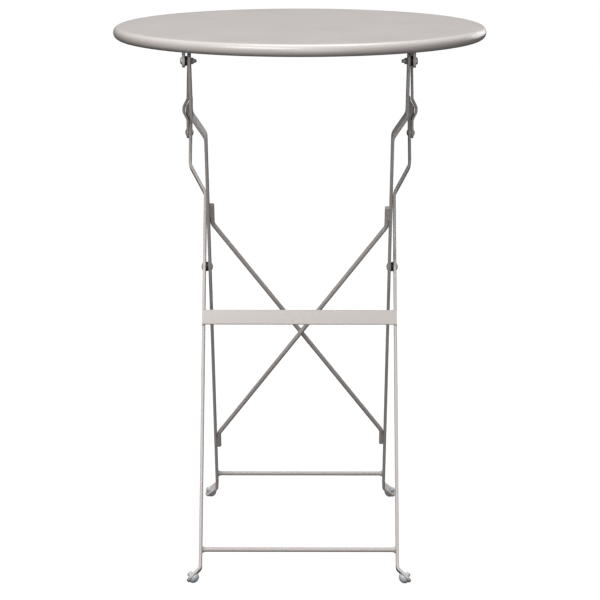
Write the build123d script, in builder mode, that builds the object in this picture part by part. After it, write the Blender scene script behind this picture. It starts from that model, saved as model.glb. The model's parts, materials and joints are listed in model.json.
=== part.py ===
"""Folding steel bistro table: a pressed round top on two crossed frames of flat bar.

Frame: origin on the floor under the middle of the top, +Z up, +X across the table,
-Y towards the front, where the top hinges on the inner frame. Millimetres.
"""
import os
from math import asin, atan2, cos, degrees, hypot, radians, sin, sqrt

from build123d import *

os.makedirs("parts", exist_ok=True)

# ---------------------------------------------------------------- overall sizes
table_height = 710.0
top_diameter = 500.0
frame_width = 263.0        # across the outer faces of the outer frame's lower bars
ear_spread = 290.6         # between the inner faces of the left and right top rails
pivot_height = 384.0       # of the crossing rivets
pivot_forward = 21.0       # of the crossing rivets, ahead of the middle of the top
hinge_inset = 24.6         # of the front hinge bolts, inside the edge of the top
hinge_drop = 28.0          # of both hinge bolts, below the table's top surface
stay_rise = 127.0          # from the stay rivets up to the hinge bolts
folded_opening = 2.5       # angle left between the two frames when folded, in degrees

# ---------------------------------------------------------------- flat bar
bar_width = 16.0
bar_thickness = 4.0
bar_edge = 1.2             # rounding of the bar's long edges
joggle_bend = 20.0
foot_bend = 6.0
foot_flare = 44.0          # of the foot tabs, outward from the bar, in degrees
foot_tab_round = 7.5
foot_tab_beyond_glide = 9.4

# ---------------------------------------------------------------- outer frame
outer_joggle_start = 89.2  # all three below the stay rivet, along the bar
outer_joggle_end = 48.0
stub_beyond_rivet = 53.5   # this one above it
stub_round = 7.5
crossbar_height = 20.7
crossbar_thickness = 2.5
crossbar_below_pivot = 74.2
rod_diameter = 6.2
lower_rod_height = 39.8

# ---------------------------------------------------------------- inner frame
inner_joggle_start = 117.5  # both below the front hinge bolt, along the bar
inner_joggle_end = 84.8
inner_bar_beyond_bolt = 10.0
inner_bar_round = 2.0
brace_top = 104.0          # top end of the braces, above the crossing rivet along the bar
brace_bottom = 331.0       # bottom end, below it
brace_top_tab = 32.0       # straight ends of each brace, welded to the bars
brace_bottom_tab = 25.0
brace_bend = 14.0

# ---------------------------------------------------------------- stays
stay_width = 16.0
stay_thickness = 3.2
stay_round = 7.5
stay_edge = 1.0
bow_start = 17.0           # the bow clears the detent block; distances from the rivet
bow_end = 46.0
bow_ramp = 11.0
bow_height = 5.6
bow_bend = 9.0
stay_set_end = 14.0        # the stay leans in, then runs straight again this far from its end

# ---------------------------------------------------------------- tabletop
sheet = 1.5
rim_radius = 8.0           # outside radius of the rolled rim
rim_roll = 185.0           # how far the rim is rolled round, in degrees
ear_thickness = 3.5
ear_width = 17.0
rail_web = 10.0
rail_flange = 15.0
rail_flange_thickness = 2.0

# ---------------------------------------------------------------- fasteners and trim
pin_diameter = 5.0
running_clearance = 0.05   # radial, around a pin
face_gap = 0.05            # between flat faces that slide on each other
side_clearance = 0.3       # between the outer frame's bars and the rails
rivet_head_diameter = 11.0
rivet_head_height = 2.1
stay_rivet_head_diameter = 10.0
stay_rivet_head_height = 2.0
spacer_diameter = 13.0
crossing_spacer_thickness = 3.5
hinge_spacer_thickness = 3.5
stay_washer_diameter = 12.0
stay_washer_thickness = 0.3
block_width = 13.0
block_clearance = 0.4      # between the detent block and the inside of the bow
block_shoulder = 0.3       # of the block's two upper corners, inside the bow's
block_foot_inset = 1.0     # of the block's two ends, inside the bow's ends
block_round = 2.0
screw_head_diameter = 9.4
screw_head_height = 2.5
screw_socket_across = 3.0
screw_socket_depth = 1.5
screw_tip_length = 3.2
screw_tip_chamfer = 0.9
nut_across_flats = 8.0
nut_height = 4.0
nut_chamfer = 0.4
glide_diameter = 15.0
glide_height = 7.0
glide_from_bend = 15.0
glide_stem_diameter = 5.0
glide_knob_diameter = 8.4
glide_knob_top_diameter = 6.4
glide_knob_height = 5.0

# ---------------------------------------------------------------- places across the table (X)
ear_inner = ear_spread / 2
ear_outer = ear_inner + ear_thickness
inner_upper_outer = ear_inner - hinge_spacer_thickness - 2 * face_gap
inner_upper = inner_upper_outer - bar_thickness / 2
outer_upper_inner = ear_outer + side_clearance
outer_upper = outer_upper_inner + bar_thickness / 2
outer_upper_outer = outer_upper_inner + bar_thickness
stay_inner = outer_upper_outer + stay_washer_thickness + 2 * face_gap
stay_middle = stay_inner + stay_thickness / 2
stay_outer = stay_inner + stay_thickness
stay_upper_inner = ear_outer + hinge_spacer_thickness + 2 * face_gap
stay_upper = stay_upper_inner + stay_thickness / 2
stay_upper_outer = stay_upper_inner + stay_thickness
outer_lower_outer = frame_width / 2
outer_lower_inner = outer_lower_outer - bar_thickness
outer_lower = outer_lower_outer - bar_thickness / 2
inner_lower_outer = outer_lower_inner - crossing_spacer_thickness - face_gap
inner_lower_inner = inner_lower_outer - bar_thickness
inner_lower = inner_lower_outer - bar_thickness / 2

# ---------------------------------------------------------------- places in side view (Y, Z)
top_radius = top_diameter / 2
underside = table_height - sheet
hinge_height = table_height - hinge_drop
hinge_reach = sqrt(top_radius**2 - ear_inner**2) - hinge_inset
crossing = (-pivot_forward, pivot_height)
front_hinge = (-hinge_reach, hinge_height)
lean = degrees(atan2(crossing[0] - front_hinge[0], hinge_height - pivot_height))
front_hinge_along = hypot(crossing[0] - front_hinge[0], hinge_height - pivot_height)
stay_rivet_along = (hinge_height - stay_rise - pivot_height) / cos(radians(lean))
stay_rivet = (
    crossing[0] + stay_rivet_along * sin(radians(lean)),
    crossing[1] + stay_rivet_along * cos(radians(lean)),
)

# The rear hinge lies where the rail and the stay come into one line when the frames close.
folded_span = sqrt(
    front_hinge_along**2
    + stay_rivet_along**2
    - 2 * front_hinge_along * stay_rivet_along * cos(radians(folded_opening))
)
folded_reach = front_hinge[0] + folded_span
rear_hinge_y = (folded_reach**2 - stay_rivet[0] ** 2 - stay_rise**2) / (
    2 * (folded_reach - stay_rivet[0])
)
rear_hinge = (rear_hinge_y, hinge_height)
stay_length = hypot(rear_hinge[0] - stay_rivet[0], stay_rise)
stay_lean = degrees(atan2(rear_hinge[0] - stay_rivet[0], stay_rise))

# The lowest point of each domed glide touches the floor.
dome_radius = ((glide_diameter / 2) ** 2 + glide_height**2) / (2 * glide_height)
flare_sin = sin(radians(foot_flare))
flare_cos = cos(radians(foot_flare))
dome_centre_rise = dome_radius + cos(radians(lean)) * flare_sin * (glide_height - dome_radius)
foot_bend_along = (
    (dome_centre_rise - pivot_height) / cos(radians(lean))
    + glide_from_bend * flare_cos
    + bar_thickness / 2 * flare_sin
)
foot_tab_length = glide_from_bend + foot_tab_beyond_glide
lower_rod_along = (lower_rod_height - pivot_height) / cos(radians(lean))

sides = (("left", -1), ("right", 1))


def leaning_plane(point, angle):
    """Plane through a (y, z) point: local X across the table, local Y up a bar leaning back."""
    normal = (0, -cos(radians(angle)), sin(radians(angle)))
    return Plane(origin=(0, *point), x_dir=(1, 0, 0), z_dir=normal)


def across_plane(side, x, point):
    """Plane facing outward along X, at distance x from the middle, through a (y, z) point."""
    return Plane(origin=(side * x, *point), x_dir=(0, 1, 0), z_dir=(side, 0, 0))


def turning_plane(side, x, point):
    """Plane for half outlines of turned pieces: local X is radius, local Y runs outward."""
    return Plane(origin=(side * x, *point), x_dir=(0, 1, 0), z_dir=(0, 0, -side))


def pin_axis(side, x, point):
    """Axis of a pin across the table, pointing outward."""
    return Axis((side * x, *point), (side, 0, 0))


def save(piece, label):
    """Name a finished piece and write it to its own file."""
    piece.part.label = label
    export_step(piece.part, f"parts/{label}.step")


outer_plane = leaning_plane(crossing, lean)
inner_plane = leaning_plane(crossing, -lean)
stay_plane = leaning_plane(stay_rivet, stay_lean)
hole_radius = pin_diameter / 2 + running_clearance


def foot_points(side, x):
    """The foot's bend and the end of its flared tab, in the bar's own plane."""
    bend = (side * x, foot_bend_along)
    tip = (
        side * (x + foot_tab_length * flare_sin),
        foot_bend_along - foot_tab_length * flare_cos,
    )
    return tip, bend


def glide_place(side, x, plane):
    """Middle of the foot tab's underside at the glide, and the way the underside faces."""
    along = foot_bend_along - glide_from_bend * flare_cos - bar_thickness / 2 * flare_sin
    out = x + glide_from_bend * flare_sin - bar_thickness / 2 * flare_cos
    centre = plane.from_local_coords((side * out, along, 0))
    facing = plane.x_dir * (-side * flare_cos) - plane.y_dir * flare_sin
    return Plane(origin=centre, x_dir=plane.z_dir, z_dir=facing)


# ================================================================ leg bars
def make_leg(side, plane, x_lower, x_upper, joggle, top_along, top_round, pins):
    """One bent flat bar: flared foot tab, straight lower run, joggle outward, upper run."""
    underside_plane = glide_place(side, x_lower, plane)
    with BuildPart() as leg:
        with BuildSketch(plane):
            with BuildLine():
                tip, bend = foot_points(side, x_lower)
                FilletPolyline(
                    tip,
                    bend,
                    (side * x_lower, joggle[0]),
                    (side * x_upper, joggle[1]),
                    (side * x_upper, top_along),
                    radius=[foot_bend, joggle_bend, joggle_bend],
                )
            trace(line_width=bar_thickness)
        extrude(amount=bar_width / 2, both=True)
        fillet(leg.edges().filter_by(Axis.X), top_round)
        tab_axis = Axis(underside_plane.origin, underside_plane.z_dir)
        fillet(leg.edges().filter_by(tab_axis), foot_tab_round)
        long_edges = leg.faces().filter_by(GeomType.PLANE).sort_by(Axis(plane.origin, plane.z_dir))
        fillet(long_edges[0].edges() + long_edges[-1].edges(), bar_edge)
        for x, point in pins:
            with Locations(across_plane(side, x, point)):
                Cylinder(hole_radius, 2 * bar_thickness, mode=Mode.SUBTRACT)
        with Locations(underside_plane):
            Cylinder(
                glide_stem_diameter / 2 + running_clearance,
                4 * bar_thickness,
                mode=Mode.SUBTRACT,
            )
    return leg


for name, side in sides:
    outer_leg = make_leg(
        side,
        outer_plane,
        outer_lower,
        outer_upper,
        (stay_rivet_along - outer_joggle_start, stay_rivet_along - outer_joggle_end),
        stay_rivet_along + stub_beyond_rivet,
        stub_round,
        ((outer_lower, crossing), (outer_upper, stay_rivet)),
    )
    save(outer_leg, f"outer_leg_{name}")
    inner_leg = make_leg(
        side,
        inner_plane,
        inner_lower,
        inner_upper,
        (front_hinge_along - inner_joggle_start, front_hinge_along - inner_joggle_end),
        front_hinge_along + inner_bar_beyond_bolt,
        inner_bar_round,
        ((inner_lower, crossing), (inner_upper, front_hinge)),
    )
    save(inner_leg, f"inner_leg_{name}")

# ================================================================ crossbar and rods
with BuildPart() as outer_crossbar:
    with BuildSketch(outer_plane.offset(bar_width / 2)):
        with Locations((0, -crossbar_below_pivot)):
            Rectangle(frame_width, crossbar_height)
    extrude(amount=crossbar_thickness)
    fillet(outer_crossbar.edges().filter_by(Axis.X), bar_edge)
save(outer_crossbar, "outer_crossbar")

for name, plane, inner_face in (
    ("outer", outer_plane, outer_lower_inner),
    ("inner", inner_plane, inner_lower_inner),
):
    rod_middle = plane.from_local_coords((0, lower_rod_along, 0))
    with BuildPart() as lower_rod:
        with BuildSketch(Plane(origin=rod_middle, x_dir=(0, 1, 0), z_dir=(1, 0, 0))):
            Circle(rod_diameter / 2)
        extrude(amount=inner_face, both=True)
    save(lower_rod, f"{name}_lower_rod")

brace_x = inner_lower_inner - rod_diameter / 2
for name, depth, side in (("front", 1, 1), ("rear", -1, -1)):
    with BuildPart() as brace:
        with BuildLine(inner_plane.offset(depth * rod_diameter / 2)) as brace_path:
            FilletPolyline(
                (side * brace_x, brace_top),
                (side * brace_x, brace_top - brace_top_tab),
                (-side * brace_x, brace_bottom_tab - brace_bottom),
                (-side * brace_x, -brace_bottom),
                radius=brace_bend,
            )
        with BuildSketch(Plane(origin=brace_path.line @ 0, z_dir=brace_path.line % 0)):
            Circle(rod_diameter / 2)
        sweep()
    save(brace, f"brace_rod_{name}")

# ================================================================ stays
for name, side in sides:
    with BuildPart() as stay:
        with BuildSketch(stay_plane):
            with BuildLine():
                FilletPolyline(
                    (side * stay_middle, -stay_width / 2),
                    (side * stay_middle, bow_start),
                    (side * (stay_middle + bow_height), bow_start + bow_ramp),
                    (side * (stay_middle + bow_height), bow_end - bow_ramp),
                    (side * stay_middle, bow_end),
                    (side * stay_upper, stay_length - stay_set_end),
                    (side * stay_upper, stay_length + stay_width / 2),
                    radius=bow_bend,
                )
            trace(line_width=stay_thickness)
        extrude(amount=stay_width / 2, both=True)
        fillet(stay.edges().filter_by(Axis.X), stay_round)
        flat_sides = stay.faces().filter_by(GeomType.PLANE).sort_by(
            Axis(stay_plane.origin, stay_plane.z_dir)
        )
        fillet(flat_sides[0].edges() + flat_sides[-1].edges(), stay_edge)
        for x, point in ((stay_middle, stay_rivet), (stay_upper, rear_hinge)):
            with Locations(across_plane(side, x, point)):
                Cylinder(hole_radius, 2 * stay_thickness, mode=Mode.SUBTRACT)
    save(stay, f"stay_{name}")

# ================================================================ tabletop
rim_centre = (top_radius - rim_radius, table_height - rim_radius)
rim_middle = rim_radius - sheet / 2
with BuildPart() as tabletop_panel:
    with BuildSketch(Plane.XZ):
        with BuildLine():
            Line((0, table_height - sheet / 2), (rim_centre[0], table_height - sheet / 2))
            CenterArc(rim_centre, rim_middle, 90, -rim_roll)
        trace(line_width=sheet)
    revolve(axis=Axis.Z)
save(tabletop_panel, "tabletop_panel")

rail_front = front_hinge[0] - ear_width / 2
rail_rear = rear_hinge[0] + ear_width / 2
rail_middle = (rail_front + rail_rear) / 2
rail_length = rail_rear - rail_front
for name, side in sides:
    with BuildPart() as top_rail:
        with BuildSketch(Plane.YZ.offset(side * ear_inner)):
            with Locations((rail_middle, underside - rail_web / 2)):
                Rectangle(rail_length, rail_web)
            for point in (front_hinge, rear_hinge):
                with Locations(point):
                    Circle(ear_width / 2)
                with Locations((point[0], (point[1] + underside) / 2)):
                    Rectangle(ear_width, underside - point[1])
            with Locations(front_hinge, rear_hinge):
                Circle(hole_radius, mode=Mode.SUBTRACT)
        extrude(amount=side * ear_thickness)
        with BuildSketch(Plane.XY.offset(underside)):
            with Locations((side * (ear_inner - rail_flange / 2), rail_middle)):
                Rectangle(rail_flange, rail_length)
        extrude(amount=-rail_flange_thickness)
    save(top_rail, f"top_rail_{name}")


# ================================================================ rivets, spacers, blocks
def make_rivet(side, x, point, grip, head_radius, head_height):
    """Solid rivet with a domed head at each end; x is the inner end of its grip."""
    shank_radius = pin_diameter / 2
    head_curve = (head_radius**2 + head_height**2) / (2 * head_height)
    with BuildPart() as rivet:
        with BuildSketch(turning_plane(side, x, point)):
            with BuildLine():
                Polyline((0, -head_height), (0, grip + head_height))
                RadiusArc((0, grip + head_height), (head_radius, grip), head_curve)
                Polyline(
                    (head_radius, grip),
                    (shank_radius, grip),
                    (shank_radius, 0),
                    (head_radius, 0),
                )
                RadiusArc((head_radius, 0), (0, -head_height), head_curve)
            make_face()
        revolve(axis=pin_axis(side, x, point))
    return rivet


def make_ring(side, x, point, outside_radius, thickness):
    """Flat ring round a pin, from x outward."""
    with BuildPart() as ring:
        with BuildSketch(across_plane(side, x, point)):
            Circle(outside_radius)
            Circle(hole_radius, mode=Mode.SUBTRACT)
        extrude(amount=thickness)
    return ring


for name, side in sides:
    crossing_grip = outer_lower_outer - inner_lower_inner + face_gap
    crossing_rivet = make_rivet(
        side,
        inner_lower_inner - face_gap,
        crossing,
        crossing_grip,
        rivet_head_diameter / 2,
        rivet_head_height,
    )
    save(crossing_rivet, f"crossing_rivet_{name}")
    crossing_spacer = make_ring(
        side, inner_lower_outer + face_gap, crossing, spacer_diameter / 2, crossing_spacer_thickness
    )
    save(crossing_spacer, f"crossing_spacer_{name}")
    stay_rivet_piece = make_rivet(
        side,
        outer_upper_inner,
        stay_rivet,
        stay_outer + face_gap - outer_upper_inner,
        stay_rivet_head_diameter / 2,
        stay_rivet_head_height,
    )
    save(stay_rivet_piece, f"stay_rivet_{name}")
    stay_washer = make_ring(
        side, outer_upper_outer + face_gap, stay_rivet, stay_washer_diameter / 2,
        stay_washer_thickness,
    )
    save(stay_washer, f"stay_washer_{name}")
    rear_spacer = make_ring(
        side, ear_outer + face_gap, rear_hinge, spacer_diameter / 2, hinge_spacer_thickness
    )
    save(rear_spacer, f"rear_hinge_spacer_{name}")
    front_spacer = make_ring(
        side, inner_upper_outer + face_gap, front_hinge, spacer_diameter / 2,
        hinge_spacer_thickness,
    )
    save(front_spacer, f"front_hinge_spacer_{name}")

    # The bow snaps over this block and holds the table open.
    block_top = outer_upper_outer + bow_height - block_clearance
    with BuildPart() as detent_block:
        with BuildSketch(outer_plane):
            with BuildLine():
                Polyline(
                    (side * outer_upper_outer, stay_rivet_along + bow_start + block_foot_inset),
                    (side * block_top, stay_rivet_along + bow_start + bow_ramp + block_shoulder),
                    (side * block_top, stay_rivet_along + bow_end - bow_ramp - block_shoulder),
                    (side * outer_upper_outer, stay_rivet_along + bow_end - block_foot_inset),
                    close=True,
                )
            make_face()
        extrude(amount=block_width / 2, both=True)
        across_edges = detent_block.edges().filter_by(Axis(outer_plane.origin, outer_plane.z_dir))
        fillet(across_edges.sort_by(Axis((0, 0, 0), (side, 0, 0)))[-2:], block_round)
    save(detent_block, f"detent_block_{name}")


# ================================================================ hinge screws and nuts
def make_screw(side, x_start, x_head, point, tip, head):
    """Screw shank from x_start out to x_head, with a chamfered tip and a socket head if asked."""
    with BuildPart() as screw:
        with BuildSketch(across_plane(side, x_start, point)):
            Circle(pin_diameter / 2)
        extrude(amount=x_head - x_start)
        if tip:
            inner_rim = screw.edges().sort_by(Axis((0, 0, 0), (side, 0, 0)))[0]
            chamfer(inner_rim, screw_tip_chamfer)
        if head:
            with BuildSketch(across_plane(side, x_head, point)):
                Circle(screw_head_diameter / 2)
            extrude(amount=screw_head_height)
            outer_rim = screw.edges().sort_by(Axis((0, 0, 0), (side, 0, 0)))[-1]
            fillet(outer_rim, screw_head_height / 2)
            with BuildSketch(across_plane(side, x_head + screw_head_height, point)):
                RegularPolygon(screw_socket_across / 2, 6, major_radius=False)
            extrude(amount=-screw_socket_depth, mode=Mode.SUBTRACT)
    return screw


def make_nut(side, x_outer, point):
    """Hexagon nut whose outward face is at x_outer, bored to clear the screw."""
    with BuildPart() as nut:
        with BuildSketch(across_plane(side, x_outer - nut_height, point)):
            RegularPolygon(nut_across_flats / 2, 6, major_radius=False)
            Circle(hole_radius, mode=Mode.SUBTRACT)
        extrude(amount=nut_height)
        chamfer(
            nut.faces().sort_by(Axis((0, 0, 0), (side, 0, 0)))[0].outer_wire().edges(),
            nut_chamfer,
        )
    return nut


for name, side in sides:
    # The front hinge is where the closed linkage is cut, so its screw is in two halves.
    inner_upper_inner = inner_upper_outer - bar_thickness
    front_tip = inner_upper_inner - nut_height - screw_tip_length
    spacer_end = inner_upper_outer + face_gap + hinge_spacer_thickness
    save(
        make_screw(side, front_tip, spacer_end, front_hinge, tip=True, head=False),
        f"front_screw_shank_{name}",
    )
    save(
        make_screw(side, ear_inner, ear_outer, front_hinge, tip=False, head=True),
        f"front_screw_head_{name}",
    )
    save(make_nut(side, inner_upper_inner, front_hinge), f"front_hinge_nut_{name}")

    rear_tip = ear_inner - nut_height - screw_tip_length
    save(
        make_screw(side, rear_tip, stay_upper_outer + face_gap, rear_hinge, tip=True, head=True),
        f"rear_hinge_screw_{name}",
    )
    save(make_nut(side, ear_inner, rear_hinge), f"rear_hinge_nut_{name}")

# ================================================================ foot glides
for frame_name, plane, x in (
    ("outer", outer_plane, outer_lower),
    ("inner", inner_plane, inner_lower),
):
    for name, side in sides:
        seat = glide_place(side, x, plane)
        half_plane = Plane(origin=seat.origin, x_dir=seat.x_dir, z_dir=seat.y_dir * -1)
        knob_start = -bar_thickness
        knob_end = -bar_thickness - glide_knob_height
        with BuildPart() as glide:
            with BuildSketch(half_plane):
                with BuildLine():
                    RadiusArc((0, glide_height), (glide_diameter / 2, 0), dome_radius)
                    Polyline(
                        (glide_diameter / 2, 0),
                        (glide_stem_diameter / 2, 0),
                        (glide_stem_diameter / 2, knob_start),
                        (glide_knob_diameter / 2, knob_start),
                        (glide_knob_top_diameter / 2, knob_end),
                        (0, knob_end),
                        (0, glide_height),
                    )
                make_face()
            revolve(axis=Axis(seat.origin, seat.z_dir))
        save(glide, f"{frame_name}_glide_{name}")

print("lean", lean, "front_hinge", front_hinge, "stay_rivet", stay_rivet)
print("rear_hinge", rear_hinge, "stay_length", stay_length, "stay_lean", stay_lean)
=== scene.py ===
# %% [markdown]
# # A folding bistro table
#
# The table is steel: a pressed round top, two crossed frames of flat bar that are joined by rivets, round
# rods for stiffness, small screws with black spacers at the top hinges, and domed plastic glides on the
# feet. The bodies, bars and joints come ready in the frame, so this lesson adds what a close look shows:
# the rolled rim, weld beads, threads, lock nuts, moulded glides and the powder coat. Everything is in
# metres, in the frame's own coordinates.

# %% Load the frame
import json
from math import atan2, cos, pi, radians, sin

import bmesh
import bpy
from mathutils import Matrix, Vector


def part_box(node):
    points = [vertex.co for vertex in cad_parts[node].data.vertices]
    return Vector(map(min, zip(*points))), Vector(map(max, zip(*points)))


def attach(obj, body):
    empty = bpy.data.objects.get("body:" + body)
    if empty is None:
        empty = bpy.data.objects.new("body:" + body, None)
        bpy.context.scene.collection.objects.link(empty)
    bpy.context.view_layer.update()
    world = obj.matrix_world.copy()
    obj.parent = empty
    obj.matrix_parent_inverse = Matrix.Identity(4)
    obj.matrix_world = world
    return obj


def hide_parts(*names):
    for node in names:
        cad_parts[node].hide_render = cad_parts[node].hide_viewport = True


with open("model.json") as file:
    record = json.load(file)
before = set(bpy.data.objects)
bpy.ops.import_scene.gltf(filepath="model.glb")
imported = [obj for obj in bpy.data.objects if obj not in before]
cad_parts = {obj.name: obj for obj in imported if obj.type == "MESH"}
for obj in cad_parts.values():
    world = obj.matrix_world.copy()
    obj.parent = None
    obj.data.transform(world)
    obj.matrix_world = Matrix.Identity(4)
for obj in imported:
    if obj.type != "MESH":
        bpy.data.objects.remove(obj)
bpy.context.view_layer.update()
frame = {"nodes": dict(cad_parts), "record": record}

MM = 0.001
nodes = frame["nodes"]

# %% [markdown]
# ## Camera
#
# The table stands straight in front of the camera, seen from a little above the top. A long lens from
# more than three metres keeps the legs nearly parallel. The camera tilts down to the table and has a
# trace of yaw and shift.

# %% Place the camera
camera_spot = Vector((0.0174, -3.3232, 1.0371))
camera_pitch = radians(90 - 11.963)
camera_yaw = radians(0.301)
camera_lens = 148.4
camera_shift = 0.0005
camera = bpy.data.objects.new("camera", bpy.data.cameras.new("camera"))
camera.data.lens = camera_lens
camera.data.shift_x = camera_shift
camera.location = camera_spot
camera.rotation_euler = (camera_pitch, 0, camera_yaw)
bpy.context.scene.collection.objects.link(camera)
bpy.context.scene.camera = camera
print("camera", tuple(round(v, 3) for v in camera.location))

# %% [markdown]
# ## Floor, background and lights
#
# A catalogue shot stands on a white sweep. One large plane is the floor, and the world is a plain white
# dome. Seen directly both are white, but what they throw back from below is kept weak, so that the
# undersides of the rods stay dark and the round shapes read. Four soft area lights do the modelling: a
# high key from the front left, a low fill from the front that opens the undersides, a weak panel behind
# on the right that edges the bars, and an overhead one that lifts the top and draws the bright line along
# its rim.

# %% Build the studio
floor_size = 40.0
white = (1.0, 1.0, 1.0, 1.0)
dome_top = (0.97, 0.975, 1.0, 1.0)
dome_bottom = (0.03, 0.03, 0.03, 1.0)
dome_strength = 0.8
floor_glow = (0.93, 0.93, 0.93, 1.0)
floor_seen = (0.12, 0.12, 0.12, 1.0)
floor_felt = (0.06, 0.06, 0.06, 1.0)


def new_material(name):
    """An empty node material with its output, and its node tree."""
    material = bpy.data.materials.new(name)
    material.use_nodes = True
    tree = material.node_tree
    tree.nodes.clear()
    tree.nodes.new("ShaderNodeOutputMaterial").name = "Output"
    return material, tree


def camera_mix(tree, seen, felt, output):
    """One shader for what the camera sees and another for the light that it gives."""
    path = tree.nodes.new("ShaderNodeLightPath")
    mix = tree.nodes.new("ShaderNodeMixShader")
    tree.links.new(path.outputs["Is Camera Ray"], mix.inputs[0])
    tree.links.new(felt, mix.inputs[1])
    tree.links.new(seen, mix.inputs[2])
    tree.links.new(mix.outputs[0], output)


def make_floor():
    """A plain pale floor that gives back little light from below."""
    bm = bmesh.new()
    bmesh.ops.create_grid(bm, x_segments=1, y_segments=1, size=floor_size / 2)
    mesh = bpy.data.meshes.new("floor")
    bm.to_mesh(mesh)
    bm.free()
    floor = bpy.data.objects.new("floor", mesh)
    bpy.context.scene.collection.objects.link(floor)
    material, tree = new_material("floor")
    glow = tree.nodes.new("ShaderNodeEmission")
    glow.inputs["Color"].default_value = floor_glow
    shade = tree.nodes.new("ShaderNodeBsdfDiffuse")
    shade.inputs["Color"].default_value = floor_seen
    seen = tree.nodes.new("ShaderNodeAddShader")
    tree.links.new(glow.outputs[0], seen.inputs[0])
    tree.links.new(shade.outputs[0], seen.inputs[1])
    felt = tree.nodes.new("ShaderNodeBsdfDiffuse")
    felt.inputs["Color"].default_value = floor_felt
    camera_mix(tree, seen.outputs[0], felt.outputs[0], tree.nodes["Output"].inputs["Surface"])
    mesh.materials.append(material)
    return floor


def make_world():
    """White to the eye, with a soft sky gradient as the light it gives."""
    world = bpy.data.worlds.new("studio")
    bpy.context.scene.world = world
    world.use_nodes = True
    tree = world.node_tree
    tree.nodes.clear()
    output = tree.nodes.new("ShaderNodeOutputWorld")
    coordinates = tree.nodes.new("ShaderNodeTexCoord")
    height = tree.nodes.new("ShaderNodeSeparateXYZ")
    tree.links.new(coordinates.outputs["Generated"], height.inputs[0])
    ramp = tree.nodes.new("ShaderNodeValToRGB")
    ramp.color_ramp.elements[0].position = 0.0
    ramp.color_ramp.elements[0].color = dome_bottom
    ramp.color_ramp.elements[1].position = 0.75
    ramp.color_ramp.elements[1].color = dome_top
    tree.links.new(height.outputs["Z"], ramp.inputs[0])
    felt = tree.nodes.new("ShaderNodeBackground")
    felt.inputs["Strength"].default_value = dome_strength
    tree.links.new(ramp.outputs[0], felt.inputs["Color"])
    seen = tree.nodes.new("ShaderNodeBackground")
    seen.inputs["Color"].default_value = white
    camera_mix(tree, seen.outputs[0], felt.outputs[0], output.inputs["Surface"])


def softbox(name, spot, target, width, height, power, tint=(1.0, 1.0, 1.0)):
    """A rectangular area light that faces a target point and isn't seen itself."""
    light = bpy.data.lights.new(name, "AREA")
    light.shape = "RECTANGLE"
    light.size = width
    light.size_y = height
    light.energy = power
    light.color = tint
    box = bpy.data.objects.new(name, light)
    box.location = spot
    box.rotation_euler = (Vector(target) - Vector(spot)).to_track_quat("-Z", "Y").to_euler()
    box.visible_camera = False
    bpy.context.scene.collection.objects.link(box)


table_middle = (0, 0, 0.4)
make_floor()
make_world()
softbox("key", (-1.3, -2.6, 3.5), (0, 0, 0.5), 2.8, 1.8, 146, (1.0, 0.985, 0.975))
softbox("front_fill", (0.5, -3.6, 1.0), table_middle, 2.2, 1.4, 32)
softbox("back_panel", (2.1, 2.8, 1.2), (0, 0, 0.55), 1.9, 1.4, 20, (1.0, 0.98, 0.98))
softbox("overhead", (0.2, 0.6, 3.2), (0, 0, 0.7), 1.6, 1.6, 40)
bpy.context.scene.view_settings.view_transform = "Standard"
print("studio ready")

# %% [markdown]
# ## Powder coat
#
# Powder is sprayed on dry and baked until it flows, so the coat is satin, a little wavy like orange peel,
# and slightly uneven in tone where it lies thick or thin. One node group makes both effects from the
# surface's own object coordinates: a fine noise for the peel, and a slow noise for the tone. Each
# material sets its own scale and strength. The group gives out a tone colour and a height; the shader
# itself stays in the material.

# %% Make the coat group
def new_group(name, inputs, outputs):
    """A shader node group with named sockets, given as (name, type, default) and (name, type)."""
    group = bpy.data.node_groups.new(name, "ShaderNodeTree")
    for label, kind, default in inputs:
        socket = group.interface.new_socket(label, in_out="INPUT", socket_type=kind)
        socket.default_value = default
    for label, kind in outputs:
        group.interface.new_socket(label, in_out="OUTPUT", socket_type=kind)
    return group, group.nodes.new("NodeGroupInput"), group.nodes.new("NodeGroupOutput")


def noise(tree, vector, scale, detail, roughness=0.5):
    """A noise texture; scale is a number or a socket."""
    node = tree.nodes.new("ShaderNodeTexNoise")
    tree.links.new(vector, node.inputs["Vector"])
    if isinstance(scale, (int, float)):
        node.inputs["Scale"].default_value = scale
    else:
        tree.links.new(scale, node.inputs["Scale"])
    node.inputs["Detail"].default_value = detail
    node.inputs["Roughness"].default_value = roughness
    return node.outputs["Fac"]


def math_node(tree, operation, first, second):
    """A math node; each input is a number or a socket."""
    node = tree.nodes.new("ShaderNodeMath")
    node.operation = operation
    for slot, value in zip(node.inputs, (first, second)):
        if isinstance(value, (int, float)):
            slot.default_value = value
        else:
            tree.links.new(value, slot)
    return node.outputs[0]


def map_range(tree, value, low, high):
    """Takes 0..1 to low..high; low and high are numbers or sockets."""
    node = tree.nodes.new("ShaderNodeMapRange")
    tree.links.new(value, node.inputs["Value"])
    for label, limit in (("To Min", low), ("To Max", high)):
        if isinstance(limit, (int, float)):
            node.inputs[label].default_value = limit
        else:
            tree.links.new(limit, node.inputs[label])
    return node.outputs["Result"]


def mix_colour(tree, factor, first, second):
    """Blends two colours; each is a colour or a socket."""
    node = tree.nodes.new("ShaderNodeMix")
    node.data_type = "RGBA"
    tree.links.new(factor, node.inputs["Factor"])
    for label, value in (("A", first), ("B", second)):
        socket = [s for s in node.inputs if s.name == label and s.type == "RGBA"][0]
        if isinstance(value, tuple):
            socket.default_value = value
        else:
            tree.links.new(value, socket)
    return [s for s in node.outputs if s.type == "RGBA"][0]


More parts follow.
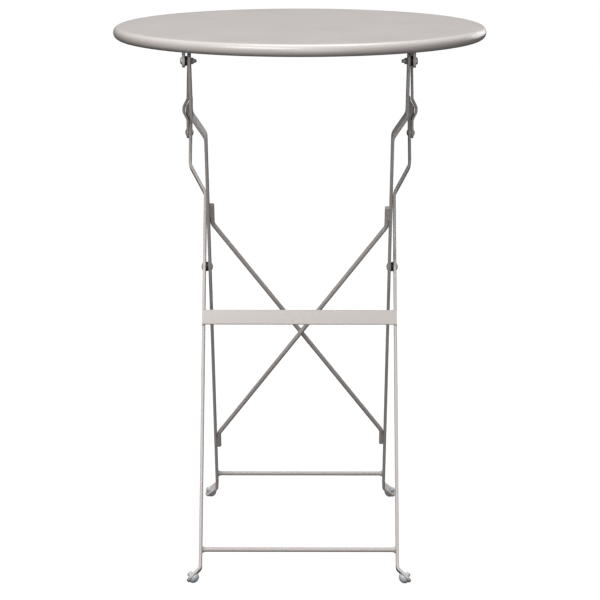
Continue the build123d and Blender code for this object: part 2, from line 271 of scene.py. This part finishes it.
def make_coat_group():
    """Tone and height of a baked powder coat."""
    group, given, out = new_group(
        "powder_coat",
        [
            ("Thin Colour", "NodeSocketColor", (0.5, 0.5, 0.5, 1)),
            ("Thick Colour", "NodeSocketColor", (0.5, 0.5, 0.5, 1)),
            ("Peel Scale", "NodeSocketFloat", 900.0),
            ("Tone Scale", "NodeSocketFloat", 14.0),
        ],
        [("Colour", "NodeSocketColor"), ("Height", "NodeSocketFloat"), ("Gloss", "NodeSocketFloat")],
    )
    where = group.nodes.new("ShaderNodeTexCoord").outputs["Object"]
    slow = noise(group, where, given.outputs["Tone Scale"], 3.0, 0.55)
    peel = noise(group, where, given.outputs["Peel Scale"], 2.0, 0.45)
    speck = noise(group, where, math_node(group, "MULTIPLY", given.outputs["Peel Scale"], 3.1), 1.0)
    blend = math_node(group, "ADD", math_node(group, "MULTIPLY", slow, 0.75),
                      math_node(group, "MULTIPLY", speck, 0.25))
    colour = mix_colour(group, blend, given.outputs["Thin Colour"], given.outputs["Thick Colour"])
    group.links.new(colour, out.inputs["Colour"])
    height = math_node(group, "ADD", peel, math_node(group, "MULTIPLY", speck, 0.15))
    group.links.new(height, out.inputs["Height"])
    group.links.new(slow, out.inputs["Gloss"])
    return group


coat_group = make_coat_group()
print("coat group sockets", [s.name for s in coat_group.interface.items_tree])


# %% Make the coated steel
def principled(tree, **values):
    """A Principled shader linked to the output, with the given socket values."""
    shader = tree.nodes.new("ShaderNodeBsdfPrincipled")
    for label, value in values.items():
        shader.inputs[label.replace("_", " ")].default_value = value
    tree.links.new(shader.outputs[0], tree.nodes["Output"].inputs["Surface"])
    return shader


def bump(tree, height, distance, shader, strength=1.0):
    """Turns a height into a normal for the shader."""
    node = tree.nodes.new("ShaderNodeBump")
    node.inputs["Distance"].default_value = distance
    node.inputs["Strength"].default_value = strength
    tree.links.new(height, node.inputs["Height"])
    tree.links.new(node.outputs[0], shader.inputs["Normal"])


def coated_steel(name, thin, thick, peel_scale, peel_depth, roughness, clear):
    """Warm grey satin powder coat over steel."""
    material, tree = new_material(name)
    coat = tree.nodes.new("ShaderNodeGroup")
    coat.node_tree = coat_group
    coat.inputs["Thin Colour"].default_value = thin
    coat.inputs["Thick Colour"].default_value = thick
    coat.inputs["Peel Scale"].default_value = peel_scale
    shader = principled(tree, Specular_IOR_Level=0.5, Coat_Weight=clear, Coat_Roughness=0.22)
    tree.links.new(coat.outputs["Colour"], shader.inputs["Base Color"])
    gloss = map_range(tree, coat.outputs["Gloss"], roughness - 0.05, roughness + 0.05)
    tree.links.new(gloss, shader.inputs["Roughness"])
    bump(tree, coat.outputs["Height"], peel_depth, shader, 0.6)
    return material


coat_thin = (0.425, 0.392, 0.372, 1)
coat_thick = (0.465, 0.432, 0.410, 1)
frame_coat = coated_steel("frame_coat", coat_thin, coat_thick, 1100.0, 0.00003, 0.44, 0.10)
top_coat = coated_steel("top_coat", coat_thin, coat_thick, 800.0, 0.00002, 0.34, 0.35)
print("coats", frame_coat.name, top_coat.name)

# %% [markdown]
# ## Zinc, black plastic and white plastic
#
# The screws and nuts are zinc plated, which is a dull metal with faint cloudy patches. The spacers are
# black moulded plastic with a fine spark-eroded grain. The glides are polythene: milky, a little
# see-through and waxy, so some light travels under the surface.

# %% Make the small materials
def zinc_plate():
    """Dulled zinc: metal with a cloudy tone and uneven gloss."""
    material, tree = new_material("zinc_plate")
    where = tree.nodes.new("ShaderNodeTexCoord").outputs["Object"]
    cloud = noise(tree, where, 420.0, 4.0, 0.6)
    grain = noise(tree, where, 5200.0, 2.0)
    shader = principled(tree, Metallic=1.0)
    colour = mix_colour(tree, cloud, (0.50, 0.495, 0.48, 1), (0.72, 0.715, 0.70, 1))
    tree.links.new(colour, shader.inputs["Base Color"])
    tree.links.new(map_range(tree, cloud, 0.38, 0.55), shader.inputs["Roughness"])
    bump(tree, grain, 0.00001, shader, 0.4)
    return material


def black_plastic():
    """Black moulded plastic with a fine grain."""
    material, tree = new_material("black_plastic")
    where = tree.nodes.new("ShaderNodeTexCoord").outputs["Object"]
    grain = noise(tree, where, 3800.0, 3.0)
    shader = principled(tree, Specular_IOR_Level=0.4)
    colour = mix_colour(tree, grain, (0.010, 0.010, 0.011, 1), (0.022, 0.021, 0.021, 1))
    tree.links.new(colour, shader.inputs["Base Color"])
    tree.links.new(map_range(tree, grain, 0.42, 0.58), shader.inputs["Roughness"])
    bump(tree, grain, 0.00002, shader, 0.5)
    return material


def milky_plastic():
    """Cloudy white polythene."""
    material, tree = new_material("milky_plastic")
    where = tree.nodes.new("ShaderNodeTexCoord").outputs["Object"]
    cloud = noise(tree, where, 260.0, 3.0)
    grain = noise(tree, where, 2600.0, 2.0)
    shader = principled(
        tree,
        Subsurface_Weight=0.6,
        Subsurface_Radius=(0.004, 0.0045, 0.005),
        Subsurface_Scale=0.8,
        Transmission_Weight=0.08,
    )
    colour = mix_colour(tree, cloud, (0.44, 0.475, 0.50, 1), (0.54, 0.57, 0.59, 1))
    tree.links.new(colour, shader.inputs["Base Color"])
    tree.links.new(map_range(tree, grain, 0.36, 0.50), shader.inputs["Roughness"])
    bump(tree, grain, 0.00002, shader, 0.4)
    return material


zinc = zinc_plate()
black = black_plastic()
milky = milky_plastic()
finishes = {
    "top_powder_coat": top_coat,
    "frame_powder_coat": frame_coat,
    "zinc_hardware": zinc,
    "spacer_plastic": black,
    "glide_plastic": milky,
}
print("finishes", sorted(finishes))

# %% [markdown]
# ## Give every carried-over node its finish
#
# The bars, rods, stays and rails have the right shape already. Each takes the material of its own slot.
# Their meshes are loose triangles, so a Weld modifier joins the corners and an Edge Split keeps the sharp
# edges sharp while the bends and round rods shade smoothly.

# %% Dress the nodes
sharp_angle = radians(32)
weld_distance = 0.002 * MM


def split_sharp(piece, angle=sharp_angle):
    """Keeps edges sharper than an angle sharp, while the rest shades smoothly."""
    split = piece.modifiers.new("sharp_edges", "EDGE_SPLIT")
    split.split_angle = angle


def dress(node, material):
    """Material, welded corners and smooth shading for a carried-over node."""
    node.data.materials.clear()
    node.data.materials.append(material)
    for face in node.data.polygons:
        face.use_smooth = True
    weld = node.modifiers.new("weld", "WELD")
    weld.merge_threshold = weld_distance
    split_sharp(node)


slot_of = {part["node"]: part["material_slot"] for part in frame["record"]["subparts"]}
for name, node in nodes.items():
    dress(node, finishes[slot_of[name]])
print("dressed", len(nodes), "nodes")

# %% [markdown]
# ## Helpers for new pieces
#
# A new piece is made in a bmesh, written to a mesh at the origin, given its slot's material and made to
# ride on its body. Three shapes come back again and again: a turned piece, which is an outline spun round
# its own axis, a weld bead along a line, and a weld collar round a rod. Each is made at the origin along
# +Z, and a matrix carries it to its place.

# %% Define the helpers
turned_steps = 64
merge_distance = 1e-7
bodies = frame["record"]["behaviour"]["bodies"]
body_of = {node: body for body, riders in bodies.items() for node in riders}
sides = (("left", -1), ("right", 1))


def finish_piece(bm, name, body, slot, replaced=()):
    """Writes a bmesh to a new object that rides on a body, in the finish of a slot."""
    bmesh.ops.remove_doubles(bm, verts=bm.verts, dist=merge_distance)
    bmesh.ops.recalc_face_normals(bm, faces=bm.faces)
    mesh = bpy.data.meshes.new(name)
    bm.to_mesh(mesh)
    bm.free()
    for face in mesh.polygons:
        face.use_smooth = True
    mesh.materials.append(finishes[slot])
    piece = bpy.data.objects.new(name, mesh)
    bpy.context.scene.collection.objects.link(piece)
    split_sharp(piece)
    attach(piece, body)
    if replaced:
        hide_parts(*replaced)
    return piece


def chain(bm, points):
    """Joins points with edges and returns the edges."""
    corners = [bm.verts.new(point) for point in points]
    return [bm.edges.new(pair) for pair in zip(corners, corners[1:])]


def rounded(points, reach, steps=5):
    """Rounds every inner corner of an outline of (radius, height) pairs."""
    smooth = [points[0]]
    for before, corner, after in zip(points, points[1:], points[2:]):
        a, b, c = Vector(before), Vector(corner), Vector(after)
        cut = min(reach, (a - b).length / 2, (c - b).length / 2)
        start = b + (a - b).normalized() * cut
        end = b + (c - b).normalized() * cut
        for i in range(steps + 1):
            t = i / steps
            smooth.append(tuple(start * (1 - t) ** 2 + b * 2 * t * (1 - t) + end * t**2))
    smooth.append(points[-1])
    return smooth


def turn(bm, outline, steps=turned_steps):
    """Spins an outline of (radius, height) pairs all the way round +Z."""
    edges = chain(bm, [(radius, 0, height) for radius, height in outline])
    corners = list({corner for edge in edges for corner in edge.verts})
    bmesh.ops.spin(
        bm, geom=edges + corners, cent=(0, 0, 0), axis=(0, 0, 1), angle=2 * pi,
        steps=steps, use_merge=True,
    )


def absorb(bm, part, place):
    """Moves a part made at the origin to its place and adds it to a bmesh."""
    part.transform(place)
    carrier = bpy.data.meshes.new("carrier")
    part.to_mesh(carrier)
    part.free()
    bm.from_mesh(carrier)
    bpy.data.meshes.remove(carrier)


def place_at(centre, outward):
    """Matrix that takes +Z to an outward direction, at a centre point."""
    turned = Vector((0, 0, 1)).rotation_difference(Vector(outward)).to_matrix().to_4x4()
    return Matrix.Translation(centre) @ turned


def middle(name):
    """The middle of a node's box."""
    low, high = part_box(name)
    return (Vector(low) + Vector(high)) / 2


def inner_end(name, side):
    """The point on a cross-wise node's axis at its end nearest the middle of the table."""
    low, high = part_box(name)
    point = middle(name)
    point.x = low[0] if side > 0 else high[0]
    return point


crossing = middle("crossing_spacer_right")
front_hinge = middle("front_hinge_spacer_right")
lean = atan2(crossing.y - front_hinge.y, front_hinge.z - crossing.z)
frames = {
    "outer": (Vector((0, sin(lean), cos(lean))), Vector((0, -cos(lean), sin(lean)))),
    "inner": (Vector((0, -sin(lean), cos(lean))), Vector((0, -cos(lean), -sin(lean)))),
}
print("frames lean", round(lean * 180 / pi, 2), "degrees; bodies", sorted(set(body_of.values())))

# %% [markdown]
# ## The pressed top
#
# The top is one disc of sheet steel. Its edge is rolled down and under into a round rim, which stiffens
# it and hides the cut edge. The outline is made the way the press makes it: one corner is spun round the
# rim's centre to roll the edge, the flat is drawn in to the middle, and the outline is spun round the
# table's axis. Solidify gives the sheet its thickness. The rim gets many small steps, because the
# highlight along it shows every facet.

# %% Spin the top
sheet_thickness = 1.5 * MM
rim_radius = 8.0 * MM
rim_roll = radians(185)
rim_sharp_angle = radians(50)
rim_steps = 28
round_steps = 288


def make_top():
    """Pressed disc with a rolled rim, replacing the plain panel."""
    low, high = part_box("tabletop_panel")
    radius = (high[0] - low[0]) / 2
    height = high[2]
    flat_radii = (0, radius * 0.5, radius - 3 * rim_radius, radius - rim_radius)
    bm = bmesh.new()
    chain(bm, [(r, 0, height) for r in flat_radii])
    bm.verts.ensure_lookup_table()
    bmesh.ops.spin(
        bm, geom=[bm.verts[-1]], cent=(radius - rim_radius, 0, height - rim_radius),
        axis=(0, 1, 0), angle=rim_roll, steps=rim_steps, use_merge=False,
    )
    bmesh.ops.remove_doubles(bm, verts=bm.verts, dist=merge_distance)
    bmesh.ops.spin(
        bm, geom=bm.verts[:] + bm.edges[:], cent=(0, 0, 0), axis=(0, 0, 1),
        angle=2 * pi, steps=round_steps, use_merge=True,
    )
    piece = finish_piece(bm, "top_panel", "tabletop", "top_powder_coat", ["tabletop_panel"])
    piece.modifiers.clear()
    wall = piece.modifiers.new("sheet", "SOLIDIFY")
    wall.thickness = sheet_thickness
    wall.offset = -1
    split_sharp(piece, rim_sharp_angle)
    return piece


top_panel = make_top()
print("top faces", len(top_panel.data.polygons))

# %% [markdown]
# ## Black spacers
#
# A moulded spacer keeps each pair of bars apart at a hinge or a crossing. Its rims are rounded by the
# mould, and a shallow groove round the middle saves plastic. The outline starts and ends in the bore, so
# the ring is closed.

# %% Turn the spacers
bore_radius = 2.55 * MM
groove_depth = 0.35 * MM
groove_edge = 0.3   # where the groove starts, as a share of the thickness
groove_floor = 0.38
spacer_rim = 0.5 * MM


def make_spacer(name, side):
    """Grooved ring with rounded rims, in the box of its node."""
    low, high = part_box(name)
    thickness = high[0] - low[0]
    radius = (high[2] - low[2]) / 2
    outline = rounded(
        [
            (bore_radius, thickness / 2),
            (bore_radius, 0),
            (radius, 0),
            (radius, thickness * groove_edge),
            (radius - groove_depth, thickness * groove_floor),
            (radius - groove_depth, thickness * (1 - groove_floor)),
            (radius, thickness * (1 - groove_edge)),
            (radius, thickness),
            (bore_radius, thickness),
            (bore_radius, thickness / 2),
        ],
        spacer_rim,
    )
    bm = bmesh.new()
    turn(bm, outline)
    bm.transform(place_at(inner_end(name, side), (side, 0, 0)))
    return finish_piece(bm, f"{name}_ring", body_of[name], "spacer_plastic", [name])


spacer_kinds = ("crossing_spacer", "front_hinge_spacer", "rear_hinge_spacer")
for side_name, side in sides:
    for kind in spacer_kinds:
        make_spacer(f"{kind}_{side_name}", side)
print("spacers", len(sides) * len(spacer_kinds))

# %% [markdown]
# ## Threads
#
# A thread is one tooth outline that climbs by a pitch while it goes round once. Spin does just that when
# each step also moves the outline along the axis. The turns share their roots, so merging close corners
# makes one skin, and the two open ends are filled. The tip of the screw is a turned cone inside the first
# turn.

# %% Define the thread and the screw end
pin_radius = 2.5 * MM
thread_root = 2.12 * MM
thread_pitch = 0.8 * MM
thread_turns = 9
screw_tip = 0.5 * MM
steps_per_turn = 28


def cut_thread(bm, start, turns):
    """Adds a helical thread along +Z from a start height."""
    outline = [
        (thread_root, 0, start),
        (pin_radius, 0, start + thread_pitch * 0.42),
        (pin_radius, 0, start + thread_pitch * 0.54),
        (thread_root, 0, start + thread_pitch * 0.96),
        (thread_root, 0, start + thread_pitch),
    ]
    edges = chain(bm, outline)
    corners = list({corner for edge in edges for corner in edge.verts})
    bmesh.ops.spin(
        bm, geom=edges + corners, cent=(0, 0, 0), axis=(0, 0, 1),
        dvec=(0, 0, thread_pitch / steps_per_turn), angle=2 * pi * turns,
        steps=steps_per_turn * turns, use_merge=False,
    )
    bmesh.ops.remove_doubles(bm, verts=bm.verts, dist=merge_distance)
    bmesh.ops.holes_fill(bm, edges=[edge for edge in bm.edges if edge.is_boundary], sides=0)


def screw_end(bm, length):
    """Threaded end and plain shank of a screw, from its tip along +Z."""
    cut_thread(bm, screw_tip, thread_turns)
    thread_end = screw_tip + thread_pitch * thread_turns
    turn(bm, rounded(
        [(0, 0), (thread_root * 0.72, 0), (thread_root, 0.85 * MM), (thread_root, thread_end)]
        + [(pin_radius, thread_end + 0.3 * MM), (pin_radius, length), (0, length)],
        0.15 * MM, 3,
    ))


print("thread", round(pin_radius * 2000, 1), "mm across, pitch", round(thread_pitch * 1000, 2), "mm")

# %% [markdown]
# ## Screws
#
# Each hinge screw is a button head with a hexagon socket. The head is built ring by ring from one circle:
# the rings are extruded and scaled up the dome, one ring is drawn to a hexagon, and that one is pushed
# down to make the socket. At the front hinge the head rides on the top and the shank rides on the inner
# frame, because the linkage is opened there, so they are two pieces. At the rear hinge they are one.

# %% Make the screws
head_segments = 48
socket_half = 1.5 * MM
socket_depth = 1.5 * MM
head_height = 2.5 * MM
head_overlap = 0.1 * MM     # of the shank, into its head
head_foot = 0.97            # radius where the head meets the bar, as a share of the head's
head_flat = 0.5             # radius of the flat round the socket, the same way
head_skirt = 0.12           # height of the upright skirt, as a share of the head's
dome_steps = 9


def next_ring(bm, ring, scale, rise):
    """Extrudes a ring of edges, scales it about the axis, and lifts it."""
    grown = bmesh.ops.extrude_edge_only(bm, edges=ring)["geom"]
    corners = [item for item in grown if isinstance(item, bmesh.types.BMVert)]
    bmesh.ops.scale(bm, vec=(scale, scale, 1), verts=corners)
    bmesh.ops.translate(bm, vec=(0, 0, rise), verts=corners)
    return [edge for edge in grown if isinstance(edge, bmesh.types.BMEdge)], corners


def button_head(bm, radius, height, base):
    """Adds a domed head with a hexagon socket, from a base height up."""
    here = radius * head_foot
    circle = bmesh.ops.create_circle(bm, cap_ends=False, segments=head_segments, radius=here)
    corners = circle["verts"]
    bmesh.ops.translate(bm, vec=(0, 0, base), verts=corners)
    ring = list({edge for corner in corners for edge in corner.link_edges})
    bmesh.ops.edgeloop_fill(bm, edges=ring)
    level = 0.0
    for i in range(dome_steps + 1):
        angle = pi / 2 * i / dome_steps
        there = radius * (head_flat + (1 - head_flat) * cos(angle))
        rise = height * (head_skirt + (1 - head_skirt) * sin(angle))
        ring, corners = next_ring(bm, ring, there / here, rise - level)
        here, level = there, rise
    ring, corners = next_ring(bm, ring, 1.0, 0.0)
    for corner in corners:
        around = atan2(corner.co.y, corner.co.x) % (pi / 3) - pi / 6
        target = socket_half / cos(around)
        shrink = target / Vector((corner.co.x, corner.co.y)).length
        corner.co.x *= shrink
        corner.co.y *= shrink
    ring, corners = next_ring(bm, ring, 1.0, -socket_depth)
    bmesh.ops.edgeloop_fill(bm, edges=ring)


def make_front_screw(side_name, side):
    """Threaded shank on the inner frame, and its head on the top."""
    shank = f"front_screw_shank_{side_name}"
    low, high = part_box(shank)
    bm = bmesh.new()
    screw_end(bm, high[0] - low[0])
    bm.transform(place_at(inner_end(shank, side), (side, 0, 0)))
    finish_piece(bm, f"front_screw_thread_{side_name}", body_of[shank], "zinc_hardware", [shank])
    head = f"front_screw_head_{side_name}"
    low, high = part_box(head)
    head_radius = (high[2] - low[2]) / 2
    stub = high[0] - low[0] - head_height
    stub_end = stub + head_overlap
    bm = bmesh.new()
    turn(bm, [(0, 0), (pin_radius, 0), (pin_radius, stub_end), (0, stub_end)])
    button_head(bm, head_radius, head_height, stub)
    bm.transform(place_at(inner_end(head, side), (side, 0, 0)))
    finish_piece(bm, f"front_button_{side_name}", body_of[head], "zinc_hardware", [head])


def make_rear_screw(side_name, side):
    """Threaded shank and head in one."""
    screw = f"rear_hinge_screw_{side_name}"
    low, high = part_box(screw)
    length = high[0] - low[0] - head_height
    bm = bmesh.new()
    screw_end(bm, length + head_overlap)
    button_head(bm, (high[2] - low[2]) / 2, head_height, length)
    bm.transform(place_at(inner_end(screw, side), (side, 0, 0)))
    return finish_piece(bm, f"rear_screw_{side_name}", body_of[screw], "zinc_hardware", [screw])


for side_name, side in sides:
    make_front_screw(side_name, side)
    rear_screw = make_rear_screw(side_name, side)
print("rear screw corners", len(rear_screw.data.vertices))

# %% [markdown]
# ## Lock nuts
#
# A lock nut is a hexagon with a low round collar that grips a nylon insert. The hexagon is one six-sided
# circle, extruded. Its twelve corners are cut by planes at thirty degrees, the way a lathe chamfers a
# real nut, and each cut is filled. The collar is turned.

# %% Make the nuts
chamfer_tilt = radians(30)
hexagon_share = 0.72        # of the nut's height
chamfer_start = 0.97        # where a cut meets the end face, as a share of the flats' radius
collar_foot = 0.88          # collar radii, the same way
collar_top = 0.86
collar_overlap = 0.2 * MM   # of the collar, into the hexagon


def make_nut(name, side):
    """Hexagon with cut corners and a turned collar, in the box of its node."""
    low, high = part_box(name)
    height = high[0] - low[0]
    half = (high[2] - low[2]) / 2
    body = height * hexagon_share
    flat_on_top = high[1] - low[1] > high[2] - low[2]
    corner_radius = half / cos(pi / 6) if flat_on_top else half
    flat_radius = corner_radius * cos(pi / 6)
    bm = bmesh.new()
    base = bmesh.ops.create_circle(bm, cap_ends=True, segments=6, radius=corner_radius)
    raised = bmesh.ops.extrude_face_region(bm, geom=bm.faces[:])["geom"]
    raised = [item for item in raised if isinstance(item, bmesh.types.BMVert)]
    bmesh.ops.translate(bm, vec=(0, 0, body), verts=raised)
    corners = [atan2(v.co.y, v.co.x) for v in base["verts"]]
    for around in corners:
        for level, up in ((body, 1), (0, -1)):
            outward = Vector((cos(around), sin(around), 0))
            on_end = outward * flat_radius * chamfer_start + Vector((0, 0, level))
            tilt = outward * sin(chamfer_tilt) + Vector((0, 0, up * cos(chamfer_tilt)))
            cut = bmesh.ops.bisect_plane(
                bm, geom=bm.verts[:] + bm.edges[:] + bm.faces[:], dist=merge_distance,
                plane_co=on_end, plane_no=tilt, clear_outer=True,
            )
            rim = [item for item in cut["geom_cut"] if isinstance(item, bmesh.types.BMEdge)]
            bmesh.ops.edgeloop_fill(bm, edges=rim)
    collar_start = body - collar_overlap
    collar = [
        (pin_radius, collar_start),
        (flat_radius * collar_foot, collar_start),
        (flat_radius * collar_top, height),
        (pin_radius, height),
        (pin_radius, collar_start),
    ]
    turn(bm, rounded(collar, 0.45 * MM))
    spin_flat = Matrix.Rotation(0 if flat_on_top else pi / 6, 4, "Z")
    outer = inner_end(name, side) + Vector((side * height, 0, 0))
    bm.transform(place_at(outer, (-side, 0, 0)) @ spin_flat)
    return finish_piece(bm, f"{name}_lock", body_of[name], "zinc_hardware", [name])


for side_name, side in sides:
    for kind in ("front_hinge_nut", "rear_hinge_nut"):
        lock_nut = make_nut(f"{kind}_{side_name}", side)
print("lock nut corners", len(lock_nut.data.vertices))

# %% [markdown]
# ## Foot glides
#
# A glide is one polythene moulding: a dome that slides on the floor, a low lip round it, a stem through
# the hole in the foot tab, and a barbed knob that snaps in above. Its axis is square to the flared tab.
# The node's own corners give its apex along that axis, and the outline is measured back from there.

# %% Turn the glides
foot_flare = radians(44)
glide_radius = 7.5 * MM
glide_height = 7.0 * MM
stem_radius = 2.5 * MM
tab_thickness = 4.0 * MM
lip_height = 0.8 * MM
lip_inset = 0.4 * MM
glide_dome_steps = 14


def glide_outline():
    """Dome, lip, stem and barbed knob, with the seat at height zero and the dome upward."""
    angles = [pi / 2 * i / glide_dome_steps for i in range(glide_dome_steps + 1)]
    dome = [
        (glide_radius * cos(a), lip_height + (glide_height - lip_height) * sin(a)) for a in angles
    ]
    knob = [
        (stem_radius, -tab_thickness),
        (4.15 * MM, -tab_thickness - 0.05 * MM),
        (4.05 * MM, -tab_thickness - 0.8 * MM),
        (3.4 * MM, -tab_thickness - 3.6 * MM),
        (3.1 * MM, -tab_thickness - 4.8 * MM),
        (0, -tab_thickness - 4.95 * MM),
    ]
    lip = [(glide_radius - lip_inset, 0), (stem_radius, 0)]
    return dome[::-1] + rounded([dome[0]] + lip, 0.3 * MM, 3)[1:] + rounded(knob, 0.5 * MM, 4)


def make_glide(name, side, up):
    """Glide with its axis square to the flared foot tab."""
    outward = Vector((-side * cos(foot_flare), 0, 0)) - up * sin(foot_flare)
    corners = [Vector(v.co) for v in nodes[name].data.vertices]
    across = outward.cross(Vector((0, 0, 1))).normalized()
    upright = across.cross(outward)
    spans = [
        [corner.dot(direction) for corner in corners] for direction in (across, upright, outward)
    ]
    seat = (
        across * (min(spans[0]) + max(spans[0])) / 2
        + upright * (min(spans[1]) + max(spans[1])) / 2
        + outward * (max(spans[2]) - glide_height)
    )
    bm = bmesh.new()
    turn(bm, glide_outline())
    bm.transform(place_at(seat, outward))
    return finish_piece(bm, f"{name}_moulding", body_of[name], "glide_plastic", [name])


for frame_name, (up, _) in frames.items():
    for side_name, side in sides:
        glide = make_glide(f"{frame_name}_glide_{side_name}", side, up)
print("glide corners", len(glide.data.vertices))

# %% [markdown]
# ## Weld beads
#
# The rods, braces, crossbar and rails are welded on before the coat goes on, so the beads carry the same
# coat. A bead is a row of overlapping ripples: a ring is extruded along a line and its radius swells once
# for every ripple, with drawn-in ends. Round a rod, the weld is a flared collar whose surface is gathered
# into ripples.

# %% Define the beads
bead_sides = 16
ripple_pitch = 1.5 * MM
ripple_depth = 0.14         # as a share of the bead's radius
bead_tip = 0.2              # radius of the drawn-in ends, the same way
steps_per_ripple = 6
collar_ripples = 9


def lay_bead(bm, start, end, radius):
    """Adds a rippled bead between two points."""
    start, end = Vector(start), Vector(end)
    length = (end - start).length
    steps = max(8, round(length / ripple_pitch * steps_per_ripple))
    part = bmesh.new()
    here = radius * bead_tip
    circle = bmesh.ops.create_circle(part, cap_ends=True, segments=bead_sides, radius=here)
    ring = list({edge for corner in circle["verts"] for edge in corner.link_edges})
    for i in range(1, steps + 1):
        along = i / steps
        swell = 1 - ripple_depth + ripple_depth * abs(sin(pi * along * length / ripple_pitch))
        from_end = min(along, 1 - along) * length / radius
        taper = min(1.0, from_end + bead_tip)
        there = radius * swell * taper**0.5 if i < steps else radius * bead_tip
        ring, _ = next_ring(part, ring, there / here, length / steps)
        here = there
    bmesh.ops.edgeloop_fill(part, edges=ring)
    absorb(bm, part, place_at(start, end - start))


def lay_collar(bm, centre, outward, rod, width, length):
    """Adds a rippled flare round a rod, widest at the face that it is welded to."""
    part = bmesh.new()
    inside = rod * 0.8
    flare = [
        (inside, 0),
        (rod + width, 0),
        (rod + width * 0.45, length * 0.3),
        (rod + width * 0.12, length * 0.7),
        (rod * 0.98, length),
        (inside, length),
        (inside, 0),
    ]
    turn(part, rounded(flare, length * 0.2))
    for corner in part.verts:
        radius = Vector((corner.co.x, corner.co.y)).length
        if radius > rod:
            around = atan2(corner.co.y, corner.co.x)
            ripple = 1 + 0.16 * sin(collar_ripples * around + 1.7 * sin(2 * around) + corner.co.z / MM)
            scale = (rod + (radius - rod) * ripple) / radius
            corner.co.x *= scale
            corner.co.y *= scale
    absorb(bm, part, place_at(centre, outward))


print("ripple pitch", round(ripple_pitch * 1000, 2), "mm")

# %% [markdown]
# Each lower rod ends square on the inside faces of two bars, so it gets a collar at both ends. The braces
# lie against those faces for the length of their straight ends, and a bead runs along the rod there, on
# the side that the torch can reach. The crossbar lies on the front edges of the outer bars, with short
# beads above and below.

# %% Weld the rods, the braces and the crossbar
bar_thickness = 4.0 * MM
crossbar_height = 20.7 * MM
brace_radius = 3.1 * MM
brace_bead = 1.15 * MM
brace_top_weld = (104 * MM, 84 * MM)         # both along the bar from the crossing, upward
brace_bottom_weld = (-331 * MM, -314 * MM)


def weld_lower_rods():
    """Collars where the two lower rods meet the bars."""
    for frame_name in frames:
        node = f"{frame_name}_lower_rod"
        low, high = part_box(node)
        rod = (high[2] - low[2]) / 2
        bm = bmesh.new()
        for _, side in sides:
            end = middle(node)
            end.x = high[0] if side > 0 else low[0]
            lay_collar(bm, end, (-side, 0, 0), rod, 1.8 * MM, 5.0 * MM)
        finish_piece(bm, f"{frame_name}_rod_welds", body_of[node], "frame_powder_coat")


def weld_braces():
    """Beads along the straight ends of the two crossed braces."""
    up, front = frames["inner"]
    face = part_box("inner_lower_rod")[1][0]
    bm = bmesh.new()
    for depth, lower_side in ((1, -1), (-1, 1)):
        for side, (near, far) in ((-lower_side, brace_top_weld), (lower_side, brace_bottom_weld)):
            for reach in (-1, 1):
                shift = front * brace_radius * (depth + reach * 0.82)
                side_step = Vector((side * (face - brace_radius * 0.28), 0, 0))
                base = Vector((0, crossing.y, crossing.z)) + side_step + shift
                lay_bead(bm, base + up * near, base + up * far, brace_bead)
    finish_piece(bm, "brace_welds", body_of["brace_rod_front"], "frame_powder_coat")


def weld_crossbar():
    """Short beads above and below the crossbar, on the front edges of the outer bars."""
    up, front = frames["outer"]
    bar_centre = middle("outer_crossbar")
    outer_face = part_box("outer_crossbar")[1][0]
    bm = bmesh.new()
    for _, side in sides:
        for edge in (-1, 1):
            rise = edge * (crossbar_height / 2 + 0.2 * MM)
            base = bar_centre + up * rise - front * 0.75 * MM
            start = base + Vector((side * (outer_face - 0.4 * MM), 0, 0))
            end = base + Vector((side * (outer_face - bar_thickness + 0.2 * MM), 0, 0))
            lay_bead(bm, start, end, 1.0 * MM)
    finish_piece(bm, "crossbar_welds", body_of["outer_crossbar"], "frame_powder_coat")


weld_lower_rods()
weld_braces()
weld_crossbar()
print("frame welds laid")

# %% [markdown]
# The two rails under the top are stitched to the sheet: three short beads along the web and three along
# the flange. They only show from below, but that is how this table is seen when it is folded.

# %% Weld the rails
stitch_length = 22.0 * MM
stitch_drop = 0.3 * MM
stitch_places = (0.2, 0.5, 0.8)     # along the rail


def weld_rails():
    """Stitch welds between the rails and the underside of the top."""
    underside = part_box("tabletop_panel")[1][2] - sheet_thickness
    for side_name, side in sides:
        low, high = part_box(f"top_rail_{side_name}")
        web = high[0] if side > 0 else low[0]
        flange = low[0] if side > 0 else high[0]
        bm = bmesh.new()
        for place in stitch_places:
            middle_y = low[1] + (high[1] - low[1]) * place
            for x in (web, flange):
                start = (x, middle_y - stitch_length / 2, underside - stitch_drop)
                end = (x, middle_y + stitch_length / 2, underside - stitch_drop)
                lay_bead(bm, start, end, 1.3 * MM)
        finish_piece(bm, f"rail_welds_{side_name}", "tabletop", "frame_powder_coat")


weld_rails()
print("rail welds laid")
